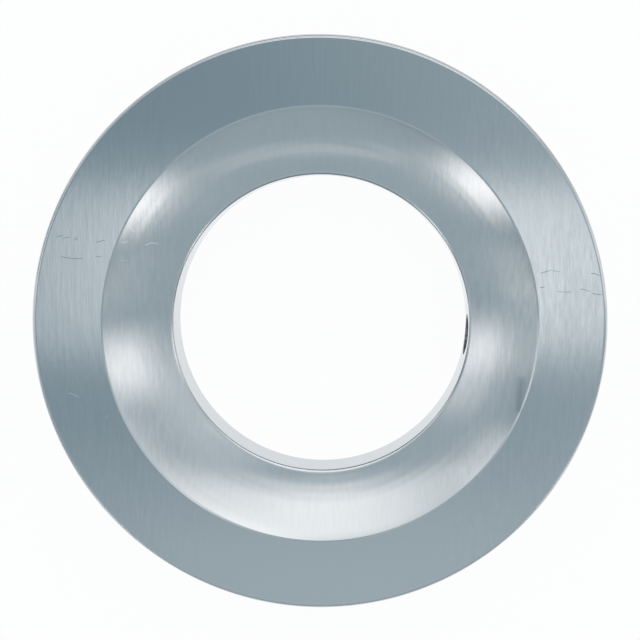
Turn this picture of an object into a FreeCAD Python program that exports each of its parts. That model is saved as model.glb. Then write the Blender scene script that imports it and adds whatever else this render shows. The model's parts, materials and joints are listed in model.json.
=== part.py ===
# Filling washer for an anchor rod: a turned steel ring with a flat back, a flat bearing ring in front,
# a concave spherical seat round the bore, and one radial hole that lets filling mortar in from the rim.
# Millimetres. The origin is on the bore's axis at the flat back, +Z is the bore's axis out of the seat
# side, and +X is the side of the filling hole.
import FreeCAD, Part
import Sketcher
import os

# Driving sizes: name, value in millimetres or degrees, what it measures.
SIZES = (
    ("outer_diameter", 54.0, "Diameter of the rim"),
    ("thickness", 10.0, "From the flat back to the flat bearing ring"),
    ("bore_diameter", 28.5, "Through bore for the anchor rod"),
    ("seat_diameter", 41.0, "Across the spherical seat where it meets the bearing ring"),
    ("seat_radius", 32.0, "Radius of the sphere that the seat is part of"),
    ("filling_hole_diameter", 4.0, "Radial hole from the rim to the bore"),
    ("filling_entry_chamfer", 0.3, "Chamfer of the filling hole at the rim"),
    ("filling_entry_angle", 90.0, "Included angle of that chamfer"),
    ("front_rim_rounding", 0.4, "Rounding of the rim's edge at the bearing ring"),
    ("seat_edge_rounding", 0.12, "Rounding where the seat meets the bearing ring"),
    ("bore_mouth_rounding", 0.35, "Rounding where the seat runs into the bore"),
    ("back_rim_chamfer", 0.4, "Width and height of the chamfer round the flat back"),
    ("bore_back_chamfer", 0.3, "Width and height of the chamfer round the bore at the flat back"),
)
SHEET = "Sizes"
NODE = "filling_washer"
WALL_HEIGHT = "bore_wall_height"
FULL_TURN = 360.0

# How a sketch numbers its own axes, down from minus one, and the points of an edge, up from one.
HORIZONTAL_AXIS, VERTICAL_AXIS = range(-1, -3, -1)
START, END, CENTRE = range(1, 4)
# The origin is where the horizontal axis starts.
ORIGIN = HORIZONTAL_AXIS
SKETCH_NORMAL = FreeCAD.Vector(0, 0, 1)


def make_sheet(document):
    """The spreadsheet of driving sizes, one row each, with the value under its name as alias."""
    sheet = document.addObject("Spreadsheet::Sheet", SHEET)
    for row, (name, value, meaning) in enumerate(SIZES, start=1):
        sheet.set(f"A{row}", name)
        sheet.set(f"B{row}", str(value))
        sheet.set(f"C{row}", meaning)
        sheet.setAlias(f"B{row}", name)
    document.recompute()
    return sheet


def origin_plane(body, role):
    """The body's own origin plane with this role."""
    for feature in body.Origin.OriginFeatures:
        if feature.Role == role:
            return feature
    raise ValueError(f"The body has no plane {role}")


def plane_sketch(body, name, role):
    """An empty sketch on one of the body's origin planes."""
    sketch = body.newObject("Sketcher::SketchObject", name)
    sketch.AttachmentSupport = [(origin_plane(body, role), "")]
    sketch.MapMode = "FlatFace"
    return sketch


def bind(sketch, kind, *args, name, formula):
    """A dimension on the sketch, named and bound to a formula over the sheet."""
    index = sketch.addConstraint(Sketcher.Constraint(kind, *args))
    sketch.renameConstraint(index, name)
    sketch.setExpression(f"Constraints.{name}", formula)


def middle(edge):
    """The point half-way along an edge of a sketch."""
    return edge.value((edge.FirstParameter + edge.LastParameter) / 2)


def round_corner(section, one, other, corner, size, radius):
    """Rounds the corner of two edges by a named size, and returns a point that keeps the sharp corner."""
    beside_one, beside_other = middle(section.Geometry[one]), middle(section.Geometry[other])
    section.fillet(one, other, beside_one, beside_other, radius, True, False)
    arc = section.GeometryCount - 1
    bind(section, "Radius", arc, radius, name=size, formula=f"{SHEET}.{size}")
    point = section.addGeometry(Part.Point(corner), True)
    for edge in (one, other):
        section.addConstraint(Sketcher.Constraint("PointOnObject", point, START, edge))
    return point


def draw_section(body, sheet):
    """Half section of the ring: sketch x is the radius, sketch y the height over the flat back."""
    outer = sheet.outer_diameter / 2
    bore = sheet.bore_diameter / 2
    seat = sheet.seat_diameter / 2
    height = sheet.thickness
    sphere_height = height + (sheet.seat_radius ** 2 - seat ** 2) ** 0.5
    wall_height = sphere_height - (sheet.seat_radius ** 2 - bore ** 2) ** 0.5
    sphere = Part.Circle(FreeCAD.Vector(0, sphere_height, 0), SKETCH_NORMAL, sheet.seat_radius)
    back_inner = FreeCAD.Vector(bore + sheet.bore_back_chamfer, 0, 0)
    back_outer = FreeCAD.Vector(outer - sheet.back_rim_chamfer, 0, 0)
    rim_low = FreeCAD.Vector(outer, sheet.back_rim_chamfer, 0)
    rim_high = FreeCAD.Vector(outer, height, 0)
    seat_edge = FreeCAD.Vector(seat, height, 0)
    bore_mouth = FreeCAD.Vector(bore, wall_height, 0)
    bore_low = FreeCAD.Vector(bore, sheet.bore_back_chamfer, 0)

    section = plane_sketch(body, "Section", "XZ_Plane")
    back = section.addGeometry(Part.LineSegment(back_inner, back_outer))
    rim_chamfer = section.addGeometry(Part.LineSegment(back_outer, rim_low))
    rim = section.addGeometry(Part.LineSegment(rim_low, rim_high))
    front = section.addGeometry(Part.LineSegment(rim_high, seat_edge))
    cup = section.addGeometry(Part.ArcOfCircle(sphere, sphere.parameter(bore_mouth),
                                               sphere.parameter(seat_edge)))
    wall = section.addGeometry(Part.LineSegment(bore_mouth, bore_low))
    bore_chamfer = section.addGeometry(Part.LineSegment(bore_low, back_inner))
    for joint in ((back, END, rim_chamfer, START), (rim_chamfer, END, rim, START), (rim, END, front, START),
                  (front, END, cup, END), (cup, START, wall, START), (wall, END, bore_chamfer, START),
                  (bore_chamfer, END, back, START)):
        section.addConstraint(Sketcher.Constraint("Coincident", *joint))
    for line in (back, front):
        section.addConstraint(Sketcher.Constraint("Horizontal", line))
    for line in (rim, wall):
        section.addConstraint(Sketcher.Constraint("Vertical", line))
    section.addConstraint(Sketcher.Constraint("PointOnObject", back, START, HORIZONTAL_AXIS))
    section.addConstraint(Sketcher.Constraint("PointOnObject", cup, CENTRE, VERTICAL_AXIS))

    rim_corner = round_corner(section, rim, front, rim_high, "front_rim_rounding", sheet.front_rim_rounding)
    seat_corner = round_corner(section, front, cup, seat_edge, "seat_edge_rounding",
                               sheet.seat_edge_rounding)
    mouth_corner = round_corner(section, cup, wall, bore_mouth, "bore_mouth_rounding",
                                sheet.bore_mouth_rounding)

    bind(section, "DistanceX", ORIGIN, START, rim_corner, START, outer,
         name="outer_radius", formula=f"{SHEET}.outer_diameter / 2")
    bind(section, "DistanceY", ORIGIN, START, rim_corner, START, height,
         name="thickness", formula=f"{SHEET}.thickness")
    bind(section, "DistanceX", ORIGIN, START, seat_corner, START, seat,
         name="seat_edge_radius", formula=f"{SHEET}.seat_diameter / 2")
    bind(section, "Radius", cup, sheet.seat_radius,
         name="seat_radius", formula=f"{SHEET}.seat_radius")
    bind(section, "DistanceX", ORIGIN, START, mouth_corner, START, bore,
         name="bore_radius", formula=f"{SHEET}.bore_diameter / 2")
    bind(section, "DistanceX", back, END, rim, START, sheet.back_rim_chamfer,
         name="rim_chamfer_width", formula=f"{SHEET}.back_rim_chamfer")
    bind(section, "DistanceY", back, END, rim, START, sheet.back_rim_chamfer,
         name="rim_chamfer_height", formula=f"{SHEET}.back_rim_chamfer")
    bind(section, "DistanceX", wall, END, back, START, sheet.bore_back_chamfer,
         name="bore_chamfer_width", formula=f"{SHEET}.bore_back_chamfer")
    bind(section, "DistanceY", back, START, wall, END, sheet.bore_back_chamfer,
         name="bore_chamfer_height", formula=f"{SHEET}.bore_back_chamfer")

    # Read only: how high the bore's wall stands up to its sharp corner, which places the filling hole.
    measured = section.addConstraint(
        Sketcher.Constraint("DistanceY", ORIGIN, START, mouth_corner, START, wall_height))
    section.setDriving(measured, False)
    section.renameConstraint(measured, WALL_HEIGHT)
    return section


def turn_ring(body, section):
    """The section turned once round the bore's axis."""
    ring = body.newObject("PartDesign::Revolution", "Ring")
    ring.Profile = section
    ring.ReferenceAxis = (section, ["V_Axis"])
    ring.Angle = FULL_TURN
    section.Visibility = False
    return ring


def drill_filling_hole(body, sheet, section):
    """The radial hole, drilled from the rim into the middle of the bore's wall, with a broken entry."""
    radius = sheet.filling_hole_diameter / 2
    height = section.getDatum(WALL_HEIGHT).Value / 2
    place = plane_sketch(body, "FillingHolePlace", "YZ_Plane")
    place.setExpression(".AttachmentOffset.Base.z", f"{SHEET}.outer_diameter / 2")
    mark = place.addGeometry(Part.Circle(FreeCAD.Vector(0, height, 0), SKETCH_NORMAL, radius))
    place.addConstraint(Sketcher.Constraint("PointOnObject", mark, CENTRE, VERTICAL_AXIS))
    bind(place, "DistanceY", ORIGIN, START, mark, CENTRE, height,
         name="height", formula=f"{section.Name}.Constraints.{WALL_HEIGHT} / 2")
    bind(place, "Radius", mark, radius,
         name="radius", formula=f"{SHEET}.filling_hole_diameter / 2")
    body.Document.recompute()

    hole = body.newObject("PartDesign::Hole", "FillingHole")
    hole.Profile = place
    body.Document.recompute()
    hole.ThreadType = "None"
    hole.DepthType = "Dimension"
    hole.DrillPoint = "Flat"
    hole.HoleCutType = "Countersink"
    hole.setExpression("Diameter", f"{SHEET}.filling_hole_diameter")
    hole.setExpression("Depth", f"{SHEET}.outer_diameter / 2")
    hole.setExpression("HoleCutDiameter",
                       f"{SHEET}.filling_hole_diameter + 2 * {SHEET}.filling_entry_chamfer")
    hole.setExpression("HoleCutCountersinkAngle", f"{SHEET}.filling_entry_angle")
    place.Visibility = False
    return hole


def make_washer(document, sheet):
    """The whole washer: the section turned to a ring, then the hole drilled into it."""
    body = document.addObject("PartDesign::Body", "FillingWasher")
    body.Label = NODE
    section = draw_section(body, sheet)
    document.recompute()
    ring = turn_ring(body, section)
    document.recompute()
    hole = drill_filling_hole(body, sheet, section)
    document.recompute()
    if not hole.Shape.Volume < ring.Shape.Volume:
        raise RuntimeError("The filling hole cuts nothing")
    body.Placement = FreeCAD.Placement()
    return body


def check(document, parts):
    """Stops when an object of the document failed or a part has no sound solid."""
    for item in document.Objects:
        if "Invalid" in item.State or "Error" in item.State:
            raise RuntimeError(f"{item.Label} failed: {item.State}")
    for part in parts:
        if part.Shape.isNull() or not part.Shape.isValid() or len(part.Shape.Solids) != 1:
            raise RuntimeError(f"{part.Label} is not one sound solid")


def write(parts):
    """One STEP file for each part, named after its label."""
    os.makedirs("parts", exist_ok=True)
    for part in parts:
        part.Shape.exportStep(f"parts/{part.Label}.step")
        print(f"{part.Label}: {part.Shape.Volume:.1f} cubic millimetres")


def main():
    document = FreeCAD.newDocument("FillingWasher")
    sheet = make_sheet(document)
    parts = [make_washer(document, sheet)]
    document.recompute()
    check(document, parts)
    write(parts)


main()
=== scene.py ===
"""A filling washer in bright zinc plating with straight brush lines, lying on a pale studio floor."""

import json
import math
from typing import NamedTuple

import bmesh
import bpy
from mathutils import Matrix, Vector


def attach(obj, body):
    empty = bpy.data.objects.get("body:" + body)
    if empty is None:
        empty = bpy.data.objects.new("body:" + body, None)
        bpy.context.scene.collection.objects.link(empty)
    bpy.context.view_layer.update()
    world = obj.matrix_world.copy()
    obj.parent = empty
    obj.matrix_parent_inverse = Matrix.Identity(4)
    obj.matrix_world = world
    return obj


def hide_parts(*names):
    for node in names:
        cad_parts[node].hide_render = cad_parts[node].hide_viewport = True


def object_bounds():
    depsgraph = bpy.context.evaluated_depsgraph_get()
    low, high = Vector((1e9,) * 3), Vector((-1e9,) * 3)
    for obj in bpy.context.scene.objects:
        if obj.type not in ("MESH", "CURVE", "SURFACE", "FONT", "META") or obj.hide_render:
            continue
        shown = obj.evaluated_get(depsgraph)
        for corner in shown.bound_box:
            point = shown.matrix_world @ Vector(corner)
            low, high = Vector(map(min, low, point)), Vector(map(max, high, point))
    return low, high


bl_info = {
    "name": "Filling washer",
    "version": (1, 0, 0),
    "blender": (4, 5, 0),
    "location": "View3D > Sidebar > Washer",
    "description": "A filling washer with a spherical seat, and the studio it lies in",
    "category": "Add Mesh",
}

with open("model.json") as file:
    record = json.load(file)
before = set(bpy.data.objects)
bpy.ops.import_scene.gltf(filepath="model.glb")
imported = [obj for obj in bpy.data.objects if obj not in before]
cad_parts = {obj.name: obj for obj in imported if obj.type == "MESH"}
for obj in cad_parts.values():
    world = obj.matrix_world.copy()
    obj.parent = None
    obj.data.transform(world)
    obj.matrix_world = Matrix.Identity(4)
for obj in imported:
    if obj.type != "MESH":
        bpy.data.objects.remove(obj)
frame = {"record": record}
CAD_LOW, CAD_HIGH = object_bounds()
MOUNTS = {mount["name"]: mount for mount in frame["record"]["mounts"]}
MM = 0.001
NODE = "filling_washer"
PIECE = "brushed_washer"
IMAGE_PIXELS = 640
SENSOR_WIDTH = 36.0
NOISE_ROUGHNESS = 0.6
# A Mix node has sockets of the same name for each kind of value. These are the numbers of the colours'.
FIRST_COLOUR = 6
SECOND_COLOUR = 7
MIXED_COLOUR = 2


def length(name, millimetres, description):
    """A length of the panel, given in millimetres and kept in metres."""
    return bpy.props.FloatProperty(
        name=name, description=description, default=millimetres * MM, min=0.0, precision=5, unit="LENGTH"
    )


def angle(name, degrees, description):
    """An angle of the panel, given in degrees and kept in radians."""
    return bpy.props.FloatProperty(
        name=name, description=description, default=math.radians(degrees), subtype="ANGLE"
    )


def share(name, default, description):
    """A share of the panel, from nothing to all."""
    return bpy.props.FloatProperty(
        name=name, description=description, default=default, min=0.0, max=1.0, subtype="FACTOR"
    )


def count(name, default, description):
    """A count of the panel, of faces in a row."""
    return bpy.props.IntProperty(name=name, description=description, default=default, min=1)


def colour(name, default, description):
    """A colour of the panel, in linear light."""
    return bpy.props.FloatVectorProperty(
        name=name, description=description, default=default, size=3, min=0.0, max=1.0, subtype="COLOR"
    )


class WasherSizes(bpy.types.PropertyGroup):
    """The turned ring's sizes. The overall ones come from the frame."""

    outer_diameter: length("Outer diameter", (CAD_HIGH.x - CAD_LOW.x) / MM, "Across the rim")
    thickness: length("Thickness", CAD_HIGH.z / MM, "From the back to the flat ring")
    bore_diameter: length("Bore", 2 * MOUNTS["bore"]["dims"]["r_mm"], "Across the bore")
    hole_diameter: length(
        "Filling hole", 2 * MOUNTS["filling_hole"]["dims"]["r_mm"], "Across the filling hole"
    )
    seat_diameter: length("Seat mouth", 41.0, "Across the mouth of the spherical seat, were its edge sharp")
    seat_radius: length("Seat radius", 32.0, "Radius of the sphere that the seat is part of")
    rim_rounding: length("Rim rounding", 0.4, "Radius of the rounding between rim and flat ring")
    seat_edge: length("Seat edge", 0.16, "Width of the broken edge between flat ring and seat")
    seat_edge_lean: angle("Seat edge lean", 26.0, "How far that edge slopes")
    bore_edge: length("Bore edge", 0.27, "Width of the broken edge between seat and bore")
    seat_facet: length("Seat facet", 0.13, "Width of the facet of that edge next to the seat")
    seat_facet_lean: angle("Seat facet lean", 31.0, "How far the facet next to the seat slopes")
    bore_facet: length("Bore facet", 0.10, "Width of the facet of that edge next to the bore")
    bore_facet_lean: angle("Bore facet lean", 44.0, "How far the facet next to the bore slopes")
    back_chamfer: length("Back chamfer", 0.4, "Chamfer between rim and back")
    bore_chamfer: length("Bore chamfer", 0.3, "Chamfer between bore and back")
    hole_chamfer: length("Hole chamfer", 0.3, "Chamfer of the filling hole's mouth in the rim")
    support: length("Support", 0.02, "Width of the narrow strip that keeps a face flat up to its edge")
    cutter_weld: length("Cutter weld", 0.002, "Points of the drill nearer than this are one")
    ring_weld: length("Ring weld", 0.0004, "Points of the drilled ring nearer than this are one")
    turn_steps: count("Turn steps", 512, "Faces round the ring")
    hole_steps: count("Hole steps", 64, "Faces round the filling hole")
    rim_steps: count("Rim steps", 10, "Faces up the rim, and again over its rounding")
    flat_steps: count("Flat steps", 8, "Faces across the flat ring")
    seat_steps: count("Seat steps", 40, "Faces from the seat's mouth to the bore's edge")
    mouth_steps: count("Mouth steps", 4, "Faces over the rounding that ends the bore's edge")
    wall_steps: count("Wall steps", 8, "Faces down the bore's wall")
    back_steps: count("Back steps", 6, "Faces across the back")
    crease: angle("Crease", 25.0, "Edges that turn by more than this are sharp")


class ZincFinish(bpy.types.PropertyGroup):
    """The bright zinc plating and its brush lines."""

    plating_dull: colour("Dull plating", (0.41, 0.44, 0.46), "Colour of the zinc where the grain is dullest")
    plating_bright: colour("Bright plating", (0.84, 0.87, 0.89), "Colour of the zinc where it is brightest")
    # Also the colour of the seat's broad dark mark, which is a painted dark reflection.
    scratch_and_dark_reflection_colour: colour("Scratch", (0.36, 0.40, 0.43), "Colour in the bottom of a hairline scratch")
    edge_tint: colour("Edge tint", (0.89, 0.91, 0.93), "Tint of what the zinc mirrors edge-on")
    # Painted glint: the bright marks take this near-white colour in place of light catching their raised
    # crests.
    painted_glint_colour: colour("Burr", (0.92, 0.93, 0.94), "Colour on the crest of a hairline burr")
    grain_width: length("Grain width", 0.30, "Width of the light and dark grain between the brush lines")
    grain_length: length("Grain length", 1.8, "Length of that grain")
    grain: share("Grain", 0.03, "How much the grain lightens and darkens the zinc everywhere")
    side_grain: share("Side grain", 0.20, "How much more it does so at the left and right sides")
    seat_grain: share("Seat grain", 0.12, "How much more it does so in the seat")
    rubbed_grain: share("Rubbed grain", 0.55, "How much more it does so in the rubbed patch")
    side_start: length("Side start", 9.0, "Where the grain at the sides begins, across the brush lines")
    side_end: length("Side end", 17.0, "Where the grain at the sides is full, across the brush lines")
    rubbed_patch: bpy.props.FloatVectorProperty(
        name="Rubbed patch", description="Its middle: across the brush lines, along them, and up",
        default=(23.5 * MM, 4.0 * MM, 10.0 * MM), size=3, unit="LENGTH"
    )
    rubbed_reach: length("Rubbed reach", 8.5, "From the rubbed patch's middle to its edge")
    rubbed_core: share("Rubbed core", 0.3, "Part of that reach within which the grain is full")
    brush_azimuth: angle("Brush azimuth", 95.2, "Direction of the brush lines, from +X towards +Y")
    roughness: share("Roughness", 0.165, "Roughness of the plating")
    anisotropy: share("Anisotropy", 0.93, "How much more the light spreads across the brush lines")
    fine_width: length("Fine line", 0.12, "Width of the finest brush lines")
    fine_length: length("Fine line length", 1.3, "Length of the finest brush lines")
    fine_depth: length("Fine line depth", 0.0026, "Depth of the finest brush lines")
    broad_width: length("Broad line", 0.42, "Width of the broad brush lines")
    broad_length: length("Broad line length", 4.5, "Length of the broad brush lines")
    broad_depth: length("Broad line depth", 0.0050, "Depth of the broad brush lines")
    scratch_depth: length("Scratch depth", 0.0030, "Depth of a hairline scratch")
    scratch_wander: length("Scratch wander", 0.16, "How far a scratch wanders to and fro")
    wander_length: length("Wander length", 0.35, "Length of a swing of that wandering")
    scratch_fade: share("Scratch fade", 0.35, "Part of a scratch's half length over which its end fades")
    marks_start: share("Marks start", 0.5, "Height where the hairline marks begin, of the thickness")
    marks_full: share("Marks full", 0.6, "Height where they are full, of the thickness")
    ring_width: length("Turning ring", 1.3, "Width of the soft rings that the turning left round the bore")
    ring_depth: length("Turning ring depth", 0.018, "Depth of those rings")


class StudioSet(bpy.types.PropertyGroup):
    """The floor, the surroundings and the camera."""

    floor_colour: colour("Floor", (0.9, 0.9, 0.9), "Colour of the floor and of the low wall round it")
    floor_glow: share("Floor glow", 0.93, "Part of the floor's white that the lamps don't have to give")
    floor_white: bpy.props.FloatProperty(
        name="Floor white", description="Strength of the floor's own white", default=1.02, min=0.0
    )
    floor_radius: length("Floor radius", 2700.0, "From the washer to the wall")
    wall_height: length("Wall height", 600.0, "Height of the low wall")
    cove_radius: length("Cove radius", 150.0, "Radius between floor and wall")
    cove_steps: count("Cove steps", 12, "Faces up that radius")
    stage_steps: count("Stage steps", 96, "Faces round the floor and round the flag")
    flag_colour: colour("Flag", (0.10, 0.12, 0.13), "Colour of the dark flag that draws the metal's edges")
    flag_inset: length("Flag inset", 200.0, "From the flag to the wall")
    flag_foot: length("Flag foot", 50.0, "Height of the flag's lower edge")
    flag_head: length("Flag head", 560.0, "Height of the flag's upper edge")
    warm_light: colour("Warm light", (1.0, 0.90, 0.84), "Colour of the lamps at the sides")
    cool_light: colour("Cool light", (0.96, 0.907, 0.89), "Colour of the lamps overhead")
    room_colour: colour("Room", (0.434, 0.513, 0.555), "Colour of the room above the wall")
    zenith_colour: colour("Zenith", (0.228, 0.323, 0.372), "Colour of the room straight above the washer")
    zenith_start: share("Zenith start", 0.7, "Where the room begins to darken: 0 is level and 1 straight up")
    zenith_full: share("Zenith full", 0.99, "Where it is darkest, in the same way")
    lamp_distance: length("Lamp distance", 2000.0, "From the washer to the lamps")
    turn: angle("Turn", 5.2, "Azimuth of the photo's right-hand side")
    tilt: angle("Tilt", 6.76, "How far the line of sight, going up, leans towards the photo's top")
    lean: angle("Lean", 0.22, "How far the line of sight, going up, leans towards the photo's left")
    distance: length("Camera distance", 143.6, "From the camera to the plane through the flat ring's middle")
    aim_right: length("Aim right", 4.67, "How far right of the washer's axis the camera points")
    aim_down: length("Aim down", 4.95, "How far below the washer's axis the camera points")
    near_clip: share("Near clip", 0.01, "Nearest distance that the camera sees, of its own distance")
    focal_pixels: bpy.props.FloatProperty(
        name="Focal length", description="In the photo's pixels", default=1532.0, min=1.0
    )
    shift_pixels: bpy.props.FloatVectorProperty(
        name="Shift", description="Optical axis from the photo's middle, in pixels right and down",
        default=(50.0, 60.0), size=2
    )


class Softbox(NamedTuple):
    """A lamp seen from the washer.

    Its angles are in degrees: azimuth from the photo's right, polar from straight up. The glow is its
    brightness, and soft_width and soft_height are the shares of its size over which its edges fade in.
    A warmth of 0 is the cool light's colour, and 1 the warm light's.
    """

    name: str
    azimuth: float
    polar: float
    width: float
    height: float
    glow: float
    soft_width: float
    soft_height: float
    warmth: float


SOFTBOXES = (
    Softbox("overhead_strip", 270, 2.5, 39, 7.8, 1.09, 0.50, 0.16, 0.3),
    Softbox("front_overhead", 272, 21.5, 68, 33, 0.31, 0.50, 0.30, 0.3),
    Softbox("back_wide", 91.5, 58, 104, 30, 0.88, 0.50, 0.37, 1.0),
    Softbox("back_right_core", 52, 67, 79, 15, 0.50, 0.14, 0.37, 1.0),
    Softbox("back_left_haze", 147, 72, 23, 29, 0.64, 0.24, 0.50, 1.0),
    Softbox("right_card", 6.5, 62, 27.5, 21, 1.18, 0.48, 0.33, 1.0),
    Softbox("right_haze", 36, 29.5, 59, 60, 0.22, 0.32, 0.16, 0.3),
    Softbox("left_card", 179, 53.5, 25, 17, 0.83, 0.50, 0.27, 1.0),
    Softbox("left_haze", 167, 48.3, 35, 16, 0.72, 0.47, 0.30, 1.0),
    Softbox("left_front_haze", 199, 68.5, 28, 18, 0.30, 0.43, 0.43, 1.0),
    Softbox("front_left_card", 223.5, 72.7, 28, 14, 1.78, 0.48, 0.31, 1.0),
    Softbox("front_right_card", 321.4, 71.4, 27, 10.6, 1.78, 0.50, 0.06, 1.0),
    Softbox("right_front_haze", 340, 65.3, 25, 16, 0.22, 0.44, 0.45, 1.0),
    Softbox("front_strip", 273.6, 60.5, 54, 6.8, 0.19, 0.05, 0.43, 1.0),
    Softbox("high_back", 80, 27, 44, 20, 1.0, 0.2, 0.2, 1.0),
)


class Gap(NamedTuple):
    """An opening in the dark flag, seen from the washer. Degrees from the photo's right."""

    middle: float
    width: float


FLAG_GAPS = (Gap(7, 36), Gap(185, 18))


class Mark(NamedTuple):
    """A hairline or streak on the upper side, or a painted dark reflection in the seat.

    Its place is taken from the washer's axis, across and along the brush lines. Its tilt is in degrees, and
    the rest in millimetres. Bend is how far its middle bows out. A strength above 0 is dark, below 0 bright;
    the bright ones are raised burrs, drawn lighter as a painted glint.
    """

    name: str
    across: float
    along: float
    length: float
    tilt: float
    bend: float
    width: float
    strength: float


MARKS = (
    Mark("right_upper_rise", 21.10, 5.15, 1.25, 16, 0.06, 0.09, 0.56),
    Mark("right_upper_fall", 22.08, 5.24, 0.85, -9, 0.0, 0.08, 0.4),
    Mark("right_upper_edge", 25.69, 4.92, 1.00, -14, 0.08, 0.10, 0.64),
    Mark("right_lower_start", 20.80, 3.72, 0.50, 0, 0.0, 0.09, 0.64),
    Mark("right_lower_middle", 22.86, 3.33, 1.60, -2, -0.05, 0.08, 0.48),
    Mark("right_lower_fall", 24.78, 3.44, 1.20, -14, 0.05, 0.08, 0.56),
    Mark("right_lower_end", 25.91, 3.09, 1.15, -7, 0.0, 0.09, 0.56),
    Mark("left_upper_first", -24.22, 8.43, 0.70, 12, 0.10, 0.13, 0.50),
    Mark("left_upper_second", -23.62, 8.28, 0.70, 14, 0.10, 0.14, 0.45),
    Mark("left_upper_third", -22.72, 8.40, 0.60, 22, -0.08, 0.13, 0.40),
    Mark("left_upper_fourth", -22.69, 8.14, 0.50, 8, 0.05, 0.12, 0.35),
    Mark("left_middle_line", -23.10, 6.56, 2.45, -4, -0.12, 0.12, 0.50),
    Mark("left_rise", -20.44, 8.00, 1.05, 16, 0.04, 0.11, 0.50),
    Mark("left_tick", -20.63, 6.60, 0.65, 0, 0.0, 0.11, 0.45),
    # The four marks below are bright: raised burrs, drawn lighter as a painted glint.
    Mark("left_low_first", -25.14, -2.74, 0.85, 38, 0.0, 0.07, -0.4),
    Mark("left_low_second", -25.14, -3.05, 0.85, 35, 0.0, 0.07, -0.4),
    Mark("left_low_curl", -23.30, -6.50, 1.40, -24, 0.15, 0.07, -0.3),
    Mark("left_low_tick", -20.09, -8.45, 0.55, 31, 0.0, 0.07, -0.3),
    # The four marks below are bright: painted glints at the lower edge of the seat's highlight, over a
    # raised relief.
    Mark("seat_tick", -17.57, 9.14, 0.75, -53, 0.0, 0.10, -0.9),
    Mark("seat_arc", -15.92, 7.56, 1.45, 3, 0.25, 0.10, -0.8),
    Mark("seat_short", -18.40, 6.20, 0.70, -2, 0.0, 0.08, -0.5),
    Mark("seat_upper", -18.26, 7.94, 0.65, 16, 0.0, 0.08, -0.5),
    # Painted dark reflection: a broad dark mark along the brush lines at the seat's right edge.
    Mark("seat_painted_dark_reflection", 18.83, -6.47, 4.0, 84, 0.0, 1.2, 0.55),
    Mark("seat_streak", 14.95, 2.75, 3.4, 93, 0.0, 0.7, 0.16),
    Mark("seat_streak_beside", 16.05, 3.15, 2.6, 92, 0.0, 0.6, 0.12),
)


def arc(centre, radius, start, end, steps):
    """Points of an arc in the section, with both its ends. The angles go from outward towards up."""
    turns = [start + (end - start) * step / steps for step in range(steps + 1)]
    return [centre + radius * Vector((math.cos(turn), math.sin(turn))) for turn in turns]


def run(start, end, steps, support):
    """Points of a straight stretch between two corners, with a narrow strip at either end."""
    edge = (end - start).normalized() * support
    return [start + edge + (end - start - 2 * edge) * step / steps for step in range(steps + 1)]


def section(sizes):
    """The ring's section as a closed loop of points, outward and up, from the back's outer corner."""
    rim = sizes.outer_diameter / 2
    bore = sizes.bore_diameter / 2
    top = sizes.thickness
    support = sizes.support
    mouth = sizes.seat_diameter / 2
    ball = Vector((0.0, top + math.sqrt(sizes.seat_radius**2 - mouth**2)))

    seat_start = Vector((0.0, top - sizes.seat_edge * math.tan(sizes.seat_edge_lean)))
    seat_start.x = math.sqrt(sizes.seat_radius**2 - (ball.y - seat_start.y) ** 2)
    seat_end = Vector((bore + sizes.bore_edge, 0.0))
    seat_end.y = ball.y - math.sqrt(sizes.seat_radius**2 - seat_end.x**2)
    facet_end = seat_end - sizes.seat_facet * Vector((1.0, math.tan(sizes.seat_facet_lean)))
    round_start = facet_end - sizes.bore_facet * Vector((1.0, math.tan(sizes.bore_facet_lean)))
    bore_rounding = (round_start.x - bore) / (1.0 - math.sin(sizes.bore_facet_lean))
    seat_turn = math.atan2(seat_start.y - ball.y, seat_start.x) - support / sizes.seat_radius
    bore_turn = math.atan2(seat_end.y - ball.y, seat_end.x)
    up = math.pi / 2
    inward = math.pi

    back_outer = Vector((rim - sizes.back_chamfer, 0.0))
    rim_foot = Vector((rim, sizes.back_chamfer))
    rim_head = Vector((rim, top - sizes.rim_rounding))
    flat_outer = Vector((rim - sizes.rim_rounding, top))
    flat_inner = Vector((seat_start.x + sizes.seat_edge, top))
    wall_head = Vector((bore, round_start.y - bore_rounding * math.cos(sizes.bore_facet_lean)))
    wall_foot = Vector((bore, sizes.bore_chamfer))
    back_inner = Vector((bore + sizes.bore_chamfer, 0.0))

    rim_centre = Vector((flat_outer.x, rim_head.y))
    mouth_centre = Vector((bore + bore_rounding, wall_head.y))

    return [
        back_outer,
        rim_foot,
        *run(rim_foot, rim_head, sizes.rim_steps, support),
        *arc(rim_centre, sizes.rim_rounding, 0.0, up, sizes.rim_steps),
        *run(flat_outer, flat_inner, sizes.flat_steps, support),
        flat_inner,
        *run(flat_inner, seat_start, 1, support),
        seat_start,
        *arc(ball, sizes.seat_radius, seat_turn, bore_turn, sizes.seat_steps),
        facet_end,
        *arc(mouth_centre, bore_rounding, up + sizes.bore_facet_lean, inward, sizes.mouth_steps),
        *run(wall_head, wall_foot, sizes.wall_steps, support),
        wall_foot,
        back_inner,
        *run(back_inner, back_outer, sizes.back_steps, support),
    ]


def lathe(name, loop, steps, closed=True):
    """A mesh turned about the Z axis from points (radius, height)."""
    mesh = bmesh.new()
    rings = []
    for step in range(steps):
        turn = math.tau * step / steps
        spoke = Vector((math.cos(turn), math.sin(turn), 0.0))
        rings.append([mesh.verts.new(spoke * point.x + Vector((0.0, 0.0, point.y))) for point in loop])
    spans = range(len(loop) if closed else len(loop) - 1)
    for step, ring in enumerate(rings):
        after = rings[(step + 1) % steps]
        for span in spans:
            ahead = (span + 1) % len(loop)
            mesh.faces.new((ring[span], after[span], after[ahead], ring[ahead]))
    bmesh.ops.recalc_face_normals(mesh, faces=mesh.faces)
    made = bpy.data.meshes.new(name)
    mesh.to_mesh(made)
    mesh.free()
    piece = bpy.data.objects.new(name, made)
    bpy.context.scene.collection.objects.link(piece)
    return piece


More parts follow.
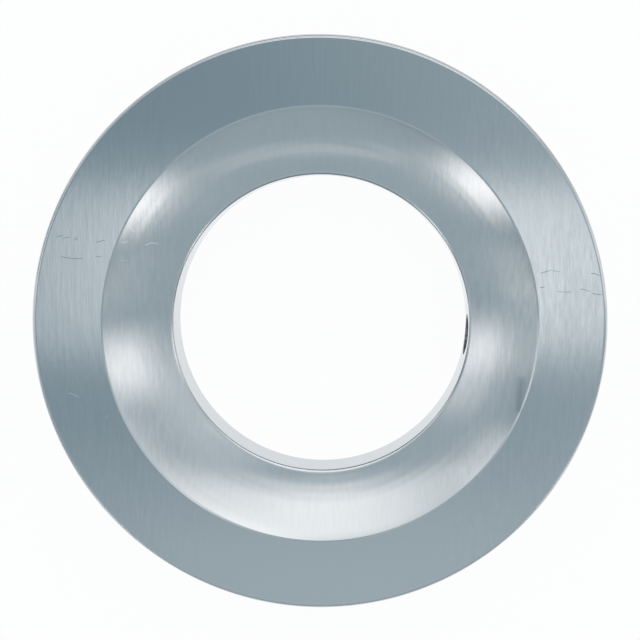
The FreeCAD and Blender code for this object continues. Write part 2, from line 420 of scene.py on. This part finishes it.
def weld(data, distance):
    """Joins the points of a mesh that lie closer together than a distance."""
    mesh = bmesh.new()
    mesh.from_mesh(data)
    bmesh.ops.remove_doubles(mesh, verts=mesh.verts, dist=distance)
    bmesh.ops.recalc_face_normals(mesh, faces=mesh.faces)
    mesh.to_mesh(data)
    mesh.free()


def hole_cutter(sizes):
    """The filling hole's tool, lying along +X: a drill with a countersink at the rim."""
    drill = sizes.hole_diameter / 2
    rim = sizes.outer_diameter / 2
    half_way = sizes.bore_diameter / 4
    sink = sizes.hole_chamfer
    loop = [
        Vector((0.0, half_way)),
        Vector((drill, half_way)),
        Vector((drill, rim - sink)),
        Vector((drill + 2 * sink, rim + sink)),
        Vector((0.0, rim + sink)),
    ]
    cutter = lathe("hole_cutter", loop, sizes.hole_steps, closed=False)
    height = MOUNTS["filling_hole"]["pos_m"][2]
    turned = Matrix.Translation((0.0, 0.0, height)) @ Matrix.Rotation(math.pi / 2, 4, "Y")
    cutter.data.transform(turned)
    weld(cutter.data, sizes.cutter_weld)
    return cutter


def cut(piece, cutter, distance):
    """Takes the cutter out of the piece for good, and welds what is left."""
    boolean = piece.modifiers.new("filling hole", "BOOLEAN")
    boolean.operation = "DIFFERENCE"
    boolean.solver = "EXACT"
    boolean.object = cutter
    bpy.context.view_layer.update()
    solid = piece.evaluated_get(bpy.context.evaluated_depsgraph_get())
    made = bpy.data.meshes.new_from_object(solid)
    made.name = piece.data.name
    weld(made, distance)
    piece.modifiers.clear()
    piece.data = made
    bpy.data.objects.remove(cutter)


def cleared_tree(owner):
    """The node tree of a material, a lamp or a world, with nothing in it."""
    owner.use_nodes = True
    owner.node_tree.nodes.clear()
    return owner.node_tree


def node(tree, kind, inputs=None, **settings):
    """Adds a node. Inputs maps a socket's name or number to a value, or to an output to link."""
    made = tree.nodes.new(kind)
    for name, value in settings.items():
        setattr(made, name, value)
    for key, value in (inputs or {}).items():
        if isinstance(value, bpy.types.NodeSocket):
            tree.links.new(value, made.inputs[key])
        else:
            made.inputs[key].default_value = value
    return made


def maths(tree, operation, first, second=0.0, third=0.0):
    """A sum, product or the like of numbers."""
    inputs = {0: first, 1: second, 2: third}
    return node(tree, "ShaderNodeMath", inputs, operation=operation).outputs[0]


def smooth(tree, value, low, high):
    """Nothing below low, all above high, and a smooth rise between."""
    inputs = {"Value": value, "From Min": low, "From Max": high}
    return node(tree, "ShaderNodeMapRange", inputs, interpolation_type="SMOOTHSTEP").outputs[0]


def stretched_noise(tree, place, width, along, detail=2.0):
    """Noise drawn out along the brush lines, from 0 to 1. Place has the lines along its Y axis."""
    scale = (1 / width, 1 / along, 1 / along)
    drawn = node(tree, "ShaderNodeMapping", {"Vector": place, "Scale": scale}).outputs[0]
    inputs = {"Vector": drawn, "Scale": 1.0, "Detail": detail, "Roughness": NOISE_ROUGHNESS}
    return node(tree, "ShaderNodeTexNoise", inputs).outputs[0]


def from_axis(tree, place):
    """The way out from the washer's axis to a place, as a vector, and its length."""
    spot = node(tree, "ShaderNodeSeparateXYZ", {0: place}).outputs
    flat = node(tree, "ShaderNodeCombineXYZ", {"X": spot["X"], "Y": spot["Y"]}).outputs[0]
    return flat, node(tree, "ShaderNodeVectorMath", {0: flat}, operation="LENGTH").outputs["Value"]


def in_seat(tree, place, finish, sizes):
    """1 in the seat and nothing on the flat ring, with a soft change between."""
    mouth = sizes.seat_diameter / 2
    radius = from_axis(tree, place)[1]
    return maths(tree, "SUBTRACT", 1.0, smooth(tree, radius, mouth - finish.ring_width, mouth))


def turning_rings(tree, place, finish, sizes):
    """Soft rings in the seat, from 0 to 1, that fade in and out as they go round."""
    flat, radius = from_axis(tree, place)
    way = node(tree, "ShaderNodeVectorMath", {0: flat}, operation="NORMALIZE").outputs[0]
    way = node(tree, "ShaderNodeSeparateXYZ", {0: way}).outputs
    inputs = {"X": maths(tree, "DIVIDE", radius, finish.ring_width), "Y": way["X"], "Z": way["Y"]}
    path = node(tree, "ShaderNodeCombineXYZ", inputs).outputs[0]
    rings = node(tree, "ShaderNodeTexNoise", {"Vector": path, "Scale": 1.0, "Detail": 1.0}).outputs[0]
    return maths(tree, "MULTIPLY", rings, in_seat(tree, place, finish, sizes))


def grain_amount(tree, place, finish, sizes):
    """The grain's light and dark, from 0 to 1 about a half: weak at front and back, strong where rubbed."""
    grain = stretched_noise(tree, place, finish.grain_width, finish.grain_length, detail=3.0)
    spot = node(tree, "ShaderNodeSeparateXYZ", {0: place}).outputs
    side = smooth(tree, maths(tree, "ABSOLUTE", spot["X"]), finish.side_start, finish.side_end)
    middle = tuple(finish.rubbed_patch)
    far = node(tree, "ShaderNodeVectorMath", {0: place, 1: middle}, operation="DISTANCE").outputs["Value"]
    core = finish.rubbed_reach * finish.rubbed_core
    rubbed = maths(tree, "SUBTRACT", 1.0, smooth(tree, far, core, finish.rubbed_reach))
    swing = maths(tree, "MULTIPLY_ADD", side, finish.side_grain, finish.grain)
    swing = maths(tree, "MULTIPLY_ADD", in_seat(tree, place, finish, sizes), finish.seat_grain, swing)
    swing = maths(tree, "MULTIPLY_ADD", rubbed, finish.rubbed_grain, swing)
    return maths(tree, "MULTIPLY_ADD", maths(tree, "SUBTRACT", grain, 0.5), swing, 0.5)


def blend_colours(tree, factor, first, second):
    """The first colour at nothing and the second at all. Either may be an output or a plain colour."""
    first, second = (
        value if isinstance(value, bpy.types.NodeSocket) else (*value, 1.0) for value in (first, second)
    )
    inputs = {"Factor": factor, FIRST_COLOUR: first, SECOND_COLOUR: second}
    return node(tree, "ShaderNodeMix", inputs, data_type="RGBA").outputs[MIXED_COLOUR]


def hairline_group(finish):
    """A node group that draws one hairline: 1 along its middle and nothing beyond its ends and edges."""
    tree = bpy.data.node_groups.new("hairline", "ShaderNodeTree")
    for name in ("Place", "Middle", "Turn", "Half size"):
        tree.interface.new_socket(name, in_out="INPUT", socket_type="NodeSocketVector")
    tree.interface.new_socket("Bend", in_out="INPUT", socket_type="NodeSocketFloat")
    tree.interface.new_socket("Line", in_out="OUTPUT", socket_type="NodeSocketFloat")
    given = node(tree, "NodeGroupInput").outputs
    inputs = {
        "Vector": given["Place"],
        "Location": given["Middle"],
        "Rotation": given["Turn"],
        "Scale": given["Half size"],
    }
    local = node(tree, "ShaderNodeMapping", inputs, vector_type="TEXTURE").outputs[0]
    local = node(tree, "ShaderNodeSeparateXYZ", {0: local}).outputs
    half_width = node(tree, "ShaderNodeSeparateXYZ", {0: given["Half size"]}).outputs["Y"]
    wander = stretched_noise(tree, given["Place"], finish.wander_length, finish.wander_length)
    wander = maths(tree, "MULTIPLY", maths(tree, "SUBTRACT", wander, 0.5), finish.scratch_wander)
    wander = maths(tree, "DIVIDE", wander, half_width)
    arch = maths(tree, "SUBTRACT", 1.0, maths(tree, "MULTIPLY", local["X"], local["X"]))
    off = maths(tree, "SUBTRACT", local["Y"], maths(tree, "MULTIPLY", arch, given["Bend"]))
    off = maths(tree, "ABSOLUTE", maths(tree, "ADD", off, wander))
    ends = maths(tree, "SUBTRACT", 1.0, maths(tree, "ABSOLUTE", local["X"]))
    ends = smooth(tree, ends, 0.0, finish.scratch_fade)
    edges = smooth(tree, maths(tree, "SUBTRACT", 1.0, off), 0.0, 1.0)
    node(tree, "NodeGroupOutput", {"Line": maths(tree, "MULTIPLY", ends, edges)})
    return tree


def scratches_and_painted_reflections(tree, place, finish):
    """All marks of the upper side: above 0 where dark and cut in, and below 0 where bright and raised. The
    bright ones carry a painted glint, and the broad dark mark at the seat's right is a painted dark
    reflection.
    """
    group = hairline_group(finish)
    total = 0.0
    for mark in MARKS:
        half_width = mark.width / 2
        inputs = {
            "Place": place,
            "Middle": (mark.across * MM, mark.along * MM, 0.0),
            "Turn": (0.0, 0.0, math.radians(mark.tilt)),
            "Half size": (mark.length / 2 * MM, half_width * MM, 1.0),
            "Bend": mark.bend / half_width,
        }
        line = node(tree, "ShaderNodeGroup", inputs, node_tree=group, label=mark.name)
        total = maths(tree, "MULTIPLY_ADD", line.outputs[0], mark.strength, total)
    height = node(tree, "ShaderNodeSeparateXYZ", {0: place}).outputs["Z"]
    upper = smooth(tree, height, CAD_HIGH.z * finish.marks_start, CAD_HIGH.z * finish.marks_full)
    return maths(tree, "MULTIPLY", total, upper)


def zinc_material(finish, sizes):
    """Bright zinc over straight brush lines, with painted glints and a painted dark reflection among its
    marks.
    """
    material = bpy.data.materials.new("bright_zinc")
    tree = cleared_tree(material)
    across = finish.brush_azimuth - math.pi / 2
    coords = node(tree, "ShaderNodeTexCoord").outputs["Object"]
    place = node(
        tree, "ShaderNodeVectorRotate", {"Vector": coords, "Angle": -across}, rotation_type="Z_AXIS"
    ).outputs[0]

    fine = stretched_noise(tree, place, finish.fine_width, finish.fine_length)
    broad = stretched_noise(tree, place, finish.broad_width, finish.broad_length)
    rings = turning_rings(tree, place, finish, sizes)
    marks = scratches_and_painted_reflections(tree, place, finish)
    relief = maths(tree, "MULTIPLY", fine, finish.fine_depth)
    relief = maths(tree, "ADD", relief, maths(tree, "MULTIPLY", broad, finish.broad_depth))
    relief = maths(tree, "ADD", relief, maths(tree, "MULTIPLY", rings, finish.ring_depth))
    relief = maths(tree, "SUBTRACT", relief, maths(tree, "MULTIPLY", marks, finish.scratch_depth))
    bump = node(tree, "ShaderNodeBump", {"Strength": 1.0, "Distance": 1.0, "Height": relief})
    grain = grain_amount(tree, place, finish, sizes)
    tone = blend_colours(tree, grain, finish.plating_dull, finish.plating_bright)
    # Dark marks: scratches, and the painted dark reflection at the seat's edge.
    dark = maths(tree, "MAXIMUM", marks, 0.0)
    tone = blend_colours(tree, dark, tone, finish.scratch_and_dark_reflection_colour)
    # Bright marks: painted glints on raised burrs.
    light = maths(tree, "MAXIMUM", maths(tree, "MULTIPLY", marks, -1.0), 0.0)
    tone = blend_colours(tree, light, tone, finish.painted_glint_colour)
    tangent = node(tree, "ShaderNodeCombineXYZ", {"X": math.cos(across), "Y": math.sin(across)}).outputs[0]
    shader = node(tree, "ShaderNodeBsdfPrincipled", {
        "Base Color": tone,
        "Metallic": 1.0,
        "Specular Tint": (*finish.edge_tint, 1.0),
        "Roughness": finish.roughness,
        "Anisotropic": finish.anisotropy,
        "Tangent": tangent,
        "Normal": bump.outputs[0],
    })
    node(tree, "ShaderNodeOutputMaterial", {"Surface": shader.outputs[0]})
    return material


def floor_material(studio):
    """Pale floor. Seen or mirrored, most of its white is its own, and the rest keeps the shadow."""
    material = bpy.data.materials.new("pale_floor")
    tree = cleared_tree(material)
    rays = node(tree, "ShaderNodeLightPath").outputs
    seen = maths(tree, "MAXIMUM", rays["Is Camera Ray"], rays["Is Glossy Ray"])
    seen = maths(tree, "MAXIMUM", seen, rays["Is Transmission Ray"])
    white = {"Color": (1.0, 1.0, 1.0, 1.0), "Strength": studio.floor_white}
    glow = node(tree, "ShaderNodeEmission", white)
    matt = node(tree, "ShaderNodeBsdfDiffuse", {"Color": (*studio.floor_colour, 1.0)})
    glowing = maths(tree, "MULTIPLY", seen, studio.floor_glow)
    mixed = node(tree, "ShaderNodeMixShader", {"Fac": glowing, 1: matt.outputs[0], 2: glow.outputs[0]})
    node(tree, "ShaderNodeOutputMaterial", {"Surface": mixed.outputs[0]})
    return material


def make_floor(studio):
    """A round floor that sweeps up into a low wall."""
    cove = Vector((studio.floor_radius - studio.cove_radius, studio.cove_radius))
    loop = [Vector((0.0, 0.0))]
    loop += arc(cove, studio.cove_radius, -math.pi / 2, 0.0, studio.cove_steps)
    loop += [Vector((studio.floor_radius, studio.wall_height))]
    floor = lathe("studio_floor", loop, studio.stage_steps, closed=False)
    weld(floor.data, MM)
    floor.data.shade_smooth()
    floor.data.materials.append(floor_material(studio))


def make_flag(studio):
    """A dark band round the stage, low down. Only the metal sees it, as the dark lines along its edges."""
    reach = studio.floor_radius - studio.flag_inset
    loop = [Vector((reach, studio.flag_foot)), Vector((reach, studio.flag_head))]
    flag = lathe("edge_flag", loop, studio.stage_steps, closed=False)
    mesh = bmesh.new()
    mesh.from_mesh(flag.data)
    for gap in FLAG_GAPS:
        around = studio.turn + math.radians(gap.middle)
        middle = Vector((math.cos(around), math.sin(around)))
        half = math.radians(gap.width / 2)
        taken = [face for face in mesh.faces if face.calc_center_median().xy.angle(middle) < half]
        bmesh.ops.delete(mesh, geom=taken, context="FACES")
    mesh.to_mesh(flag.data)
    mesh.free()
    material = bpy.data.materials.new("flag_cloth")
    tree = cleared_tree(material)
    cloth = node(tree, "ShaderNodeBsdfDiffuse", {"Color": (*studio.flag_colour, 1.0)})
    node(tree, "ShaderNodeOutputMaterial", {"Surface": cloth.outputs[0]})
    flag.data.materials.append(material)
    flag.visible_camera = False
    flag.visible_diffuse = False
    flag.visible_shadow = False


def make_softbox(box, studio):
    """A rectangular lamp that faces the washer, as bright as its glow says and softer towards its edges."""
    data = bpy.data.lights.new(box.name, "AREA")
    data.shape = "RECTANGLE"
    data.size = 2 * studio.lamp_distance * math.tan(math.radians(box.width / 2))
    data.size_y = 2 * studio.lamp_distance * math.tan(math.radians(box.height / 2))
    data.energy = box.glow * math.pi * data.size * data.size_y
    data.color = Vector(studio.cool_light).lerp(Vector(studio.warm_light), box.warmth)
    tree = cleared_tree(data)
    spot = node(tree, "ShaderNodeNewGeometry").outputs["Parametric"]
    spot = node(tree, "ShaderNodeSeparateXYZ", {0: spot}).outputs
    sides = smooth(tree, maths(tree, "PINGPONG", spot["X"], 0.5), 0.0, box.soft_width)
    ends = smooth(tree, maths(tree, "PINGPONG", spot["Y"], 0.5), 0.0, box.soft_height)
    strength = maths(tree, "MULTIPLY", sides, ends)
    glow = node(tree, "ShaderNodeEmission", {"Strength": strength})
    node(tree, "ShaderNodeOutputLight", {"Surface": glow.outputs[0]})
    lamp = bpy.data.objects.new(box.name, data)
    bpy.context.scene.collection.objects.link(lamp)
    around = studio.turn + math.radians(box.azimuth)
    polar = math.radians(box.polar)
    level = math.sin(polar)
    outward = Vector((level * math.cos(around), level * math.sin(around), math.cos(polar)))
    side = Vector((-math.sin(around), math.cos(around), 0.0))
    facing = Matrix((side, outward.cross(side), outward)).transposed().to_4x4()
    lamp.matrix_world = Matrix.Translation(outward * studio.lamp_distance) @ facing
    lamp.visible_camera = False


def make_room(studio):
    """The room above the wall, blue-grey and darker overhead."""
    world = bpy.data.worlds.new("studio_room")
    tree = cleared_tree(world)
    away = node(tree, "ShaderNodeTexCoord").outputs["Generated"]
    height = node(tree, "ShaderNodeSeparateXYZ", {0: away}).outputs["Z"]
    overhead = smooth(tree, height, studio.zenith_start, studio.zenith_full)
    room = blend_colours(tree, overhead, studio.room_colour, studio.zenith_colour)
    glow = node(tree, "ShaderNodeBackground", {"Color": room})
    node(tree, "ShaderNodeOutputWorld", {"Surface": glow.outputs[0]})
    bpy.context.scene.world = world


def make_camera(studio):
    """The photo's camera, with its optical axis off the photo's middle."""
    data = bpy.data.cameras.new("photo_camera")
    data.sensor_width = SENSOR_WIDTH
    data.lens = studio.focal_pixels / IMAGE_PIXELS * SENSOR_WIDTH
    data.shift_x = -studio.shift_pixels[0] / IMAGE_PIXELS
    data.shift_y = studio.shift_pixels[1] / IMAGE_PIXELS
    data.clip_start = studio.distance * studio.near_clip
    camera = bpy.data.objects.new("photo_camera", data)
    bpy.context.scene.collection.objects.link(camera)
    view = Matrix.Rotation(studio.lean, 4, "Y") @ Matrix.Rotation(studio.tilt, 4, "X")
    stand = Matrix.Translation((studio.aim_right, -studio.aim_down, studio.distance))
    ring = Matrix.Rotation(studio.turn, 4, "Z") @ Matrix.Translation((0.0, 0.0, CAD_HIGH.z))
    camera.matrix_world = ring @ view.transposed() @ stand
    bpy.context.scene.camera = camera


class WASHER_OT_make_ring(bpy.types.Operator):
    """Turn the ring, drill its filling hole and give it its plating"""

    bl_idname = "washer.make_ring"
    bl_label = "Make the washer"
    bl_options = {"REGISTER", "UNDO"}

    def execute(self, context):
        sizes = context.scene.washer_sizes
        ring = lathe(PIECE, section(sizes), sizes.turn_steps)
        cut(ring, hole_cutter(sizes), sizes.ring_weld)
        ring.data.shade_smooth()
        ring.data.set_sharp_from_angle(angle=sizes.crease)
        ring.data.materials.clear()
        ring.data.materials.append(zinc_material(context.scene.washer_finish, sizes))
        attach(ring, "root")
        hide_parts(NODE)
        return {"FINISHED"}


class WASHER_OT_set_stage(bpy.types.Operator):
    """Set up the floor, the lamps, the room and the camera"""

    bl_idname = "washer.set_stage"
    bl_label = "Set the stage"
    bl_options = {"REGISTER", "UNDO"}

    def execute(self, context):
        studio = context.scene.washer_studio
        make_floor(studio)
        make_flag(studio)
        for box in SOFTBOXES:
            make_softbox(box, studio)
        make_room(studio)
        make_camera(studio)
        context.scene.view_settings.view_transform = "Standard"
        return {"FINISHED"}


class WASHER_PT_panel(bpy.types.Panel):
    """The washer's sizes, its finish and its stage"""

    bl_idname = "WASHER_PT_panel"
    bl_label = "Filling washer"
    bl_space_type = "VIEW_3D"
    bl_region_type = "UI"
    bl_category = "Washer"

    def draw(self, context):
        scene = context.scene
        for group in (scene.washer_sizes, scene.washer_finish, scene.washer_studio):
            for name in group.__annotations__:
                self.layout.prop(group, name)
        self.layout.operator(WASHER_OT_make_ring.bl_idname)
        self.layout.operator(WASHER_OT_set_stage.bl_idname)


CLASSES = (WasherSizes, ZincFinish, StudioSet, WASHER_OT_make_ring, WASHER_OT_set_stage, WASHER_PT_panel)


def register():
    """Registers the classes and hangs the three groups of settings on the scene."""
    for kind in CLASSES:
        bpy.utils.register_class(kind)
    bpy.types.Scene.washer_sizes = bpy.props.PointerProperty(type=WasherSizes)
    bpy.types.Scene.washer_finish = bpy.props.PointerProperty(type=ZincFinish)
    bpy.types.Scene.washer_studio = bpy.props.PointerProperty(type=StudioSet)


def unregister():
    """Takes the settings and the classes away again."""
    del bpy.types.Scene.washer_sizes
    del bpy.types.Scene.washer_finish
    del bpy.types.Scene.washer_studio
    for kind in reversed(CLASSES):
        bpy.utils.unregister_class(kind)


def main():
    """Makes the washer and its stage."""
    register()
    bpy.ops.washer.make_ring()
    bpy.ops.washer.set_stage()


if __name__ == "__main__":
    main()
